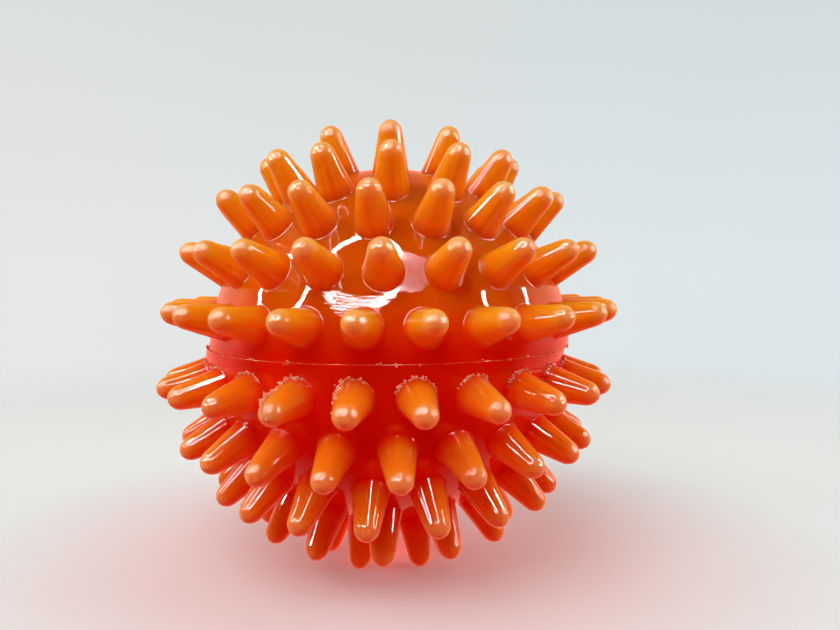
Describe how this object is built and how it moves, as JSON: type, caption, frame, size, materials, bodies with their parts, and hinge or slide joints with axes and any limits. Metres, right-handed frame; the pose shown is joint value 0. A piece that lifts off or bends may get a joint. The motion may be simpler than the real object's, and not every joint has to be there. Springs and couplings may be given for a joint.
{
  "type": "massage ball",
  "caption": "Hollow soft PVC massage ball with rings of blunt conical spikes, a moulded seam and a pull-out air valve.",
  "frame": {"origin": "the middle of the ball, on the seam plane between its two halves", "axes": "+Z along the ball's axis, towards the upper pole; -Z towards the valve; -Y towards the front; the ball is a little shorter along Z than across"},
  "size_m": [0.0746, 0.0736, 0.0707],
  "materials": {
    "orange_pvc": "gloss",
    "valve_rubber": "satin",
    "plug_pvc": "satin"
  },
  "bodies": {
    "ball": {"upper_shell": "orange_pvc", "lower_shell": "orange_pvc", "seam_flash": "orange_pvc", "upper_spikes_row_1": "orange_pvc", "upper_spikes_row_2": "orange_pvc", "upper_spikes_row_3": "orange_pvc", "upper_spikes_row_4": "orange_pvc", "upper_spikes_row_5": "orange_pvc", "lower_spikes_row_1": "orange_pvc", "lower_spikes_row_2": "orange_pvc", "lower_spikes_row_3": "orange_pvc", "lower_spikes_row_4": "orange_pvc", "lower_spikes_row_5": "orange_pvc", "valve_seat": "valve_rubber"},
    "plug": {"valve_plug": "plug_pvc"}
  },
  "joints": [
    {"name": "plug_pull", "type": "slide", "parent": "ball", "child": "plug", "axis": [0, 0, -1], "range_m": [0, 0.012]}
  ]
}
